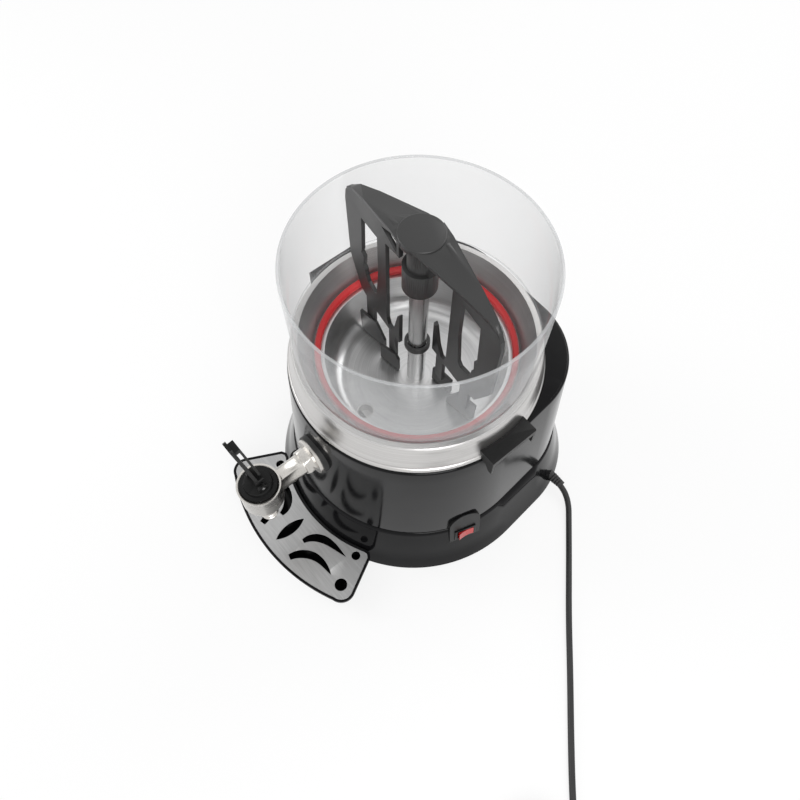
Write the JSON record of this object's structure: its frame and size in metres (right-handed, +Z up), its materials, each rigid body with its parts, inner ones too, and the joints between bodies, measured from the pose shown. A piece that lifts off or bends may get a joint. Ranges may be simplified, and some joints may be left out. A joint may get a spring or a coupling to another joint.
{
  "type": "hot chocolate dispenser",
  "caption": "Table-top hot chocolate dispenser: clear bowl over a heated steel pan, turning stirrer, lever tap, drip tray, side handles, switch and mains lead.",
  "frame": {"origin": "middle of the machine's footprint at the table, without the mains lead", "axes": "+Z up, the tap points to -Y, +X is the right of a user who faces the tap"},
  "size_m": [0.6204, 0.4695, 0.4],
  "materials": {
    "housing_black": "gloss",
    "clear_plastic": "clear, polished",
    "brushed_steel": "brushed",
    "plain_steel": "plain",
    "nickel": "satin",
    "red_silicone": "satin",
    "stirrer_black": "satin",
    "white_silicone": "matt",
    "black_plastic": "satin",
    "red_plastic": "gloss",
    "black_rubber": "matt",
    "cast_aluminium": "cast",
    "painted_metal": "satin",
    "brass": "plain"
  },
  "bodies": {
    "machine": {"upper_shell": "housing_black", "plinth_base": "housing_black", "switch_bezel": "housing_black", "knob_bezel": "housing_black", "handle_right": "housing_black", "handle_left": "housing_black", "bowl_wall": "clear_plastic", "bowl_ring": "brushed_steel", "bowl_pan": "brushed_steel", "centre_tube": "brushed_steel", "water_bath_tank": "brushed_steel", "outlet_pipe": "brushed_steel", "bottom_plate": "plain_steel", "motor_bracket": "plain_steel", "bracket_standoffs": "plain_steel", "base_screws": "plain_steel", "handle_screws": "plain_steel", "heating_element": "plain_steel", "thermostat_bulb": "plain_steel", "tap_spring": "plain_steel", "tap_washer": "nickel", "tap_hex_nut": "nickel", "tap_body": "nickel", "spout_nozzle": "nickel", "plug_pins": "nickel", "bowl_gasket": "red_silicone", "tap_bonnet": "black_plastic", "switch_body": "black_plastic", "terminal_block": "black_plastic", "thermostat_body": "black_plastic", "safety_cutout": "black_plastic", "rubber_feet": "black_rubber", "power_cord": "black_rubber", "cord_coil": "black_rubber", "strain_relief": "black_rubber", "mains_plug": "black_rubber", "tap_seal": "black_rubber", "gearbox": "cast_aluminium", "gear_motor": "painted_metal", "heater_terminals": "brass", "shaft_bush": "brass"},
    "agitator_shaft": {"drive_shaft": "brushed_steel", "shaft_coupling": "plain_steel"},
    "agitator": {"agitator_frame": "stirrer_black", "wiper_pads": "stirrer_black", "agitator_clip": "stirrer_black"},
    "tap_lever": {"tap_lever": "black_plastic", "lever_pin": "plain_steel"},
    "tap_stem": {"tap_stem": "plain_steel", "tap_seat_cup": "white_silicone"},
    "power_rocker": {"power_rocker": "red_plastic"},
    "thermostat_knob": {"thermostat_knob": "black_plastic"},
    "drip_tray": {"drip_tray": "housing_black"},
    "drip_grille": {"drip_grille": "brushed_steel"}
  },
  "joints": [
    {"name": "agitator_spin", "type": "hinge", "parent": "machine", "child": "agitator_shaft", "pos_m": [0, 0.0248, 0.2], "axis": [0, 0, 1], "continuous": true},
    {"name": "agitator_lift", "type": "slide", "parent": "agitator_shaft", "child": "agitator", "axis": [0, 0, 1], "range_m": [0, 0.19]},
    {"name": "tap_lever_pull", "type": "hinge", "parent": "machine", "child": "tap_lever", "pos_m": [0, -0.1722, 0.194], "axis": [1, 0, 0], "range_deg": [0, 45], "stiffness_Nm_per_rad": 0.05, "springref_deg": -11.46},
    {"name": "tap_stem_lift", "type": "slide", "parent": "machine", "child": "tap_stem", "axis": [0, 0, 1], "range_m": [0, 0.005], "deforming": ["tap_spring"]},
    {"name": "power_switch", "type": "hinge", "parent": "machine", "child": "power_rocker", "pos_m": [0.13552, -0.01663, 0.05879], "axis": [0.1312, -0.0401, -0.9905], "range_deg": [0, 14]},
    {"name": "thermostat_turn", "type": "hinge", "parent": "machine", "child": "thermostat_knob", "pos_m": [-0.13694, -0.01707, 0.059], "axis": [0.9473, 0.2896, -0.1372], "range_deg": [0, 270]},
    {"name": "tray_pull", "type": "slide", "parent": "machine", "child": "drip_tray", "axis": [0, -1, 0], "range_m": [0, 0.08]},
    {"name": "grille_lift", "type": "slide", "parent": "drip_tray", "child": "drip_grille", "axis": [0, 0, 1], "range_m": [0, 0.03]}
  ],
  "couplings": [
    {"joint": "tap_stem_lift", "follows": "tap_lever_pull", "m_per_rad": 0.0063}
  ]
}
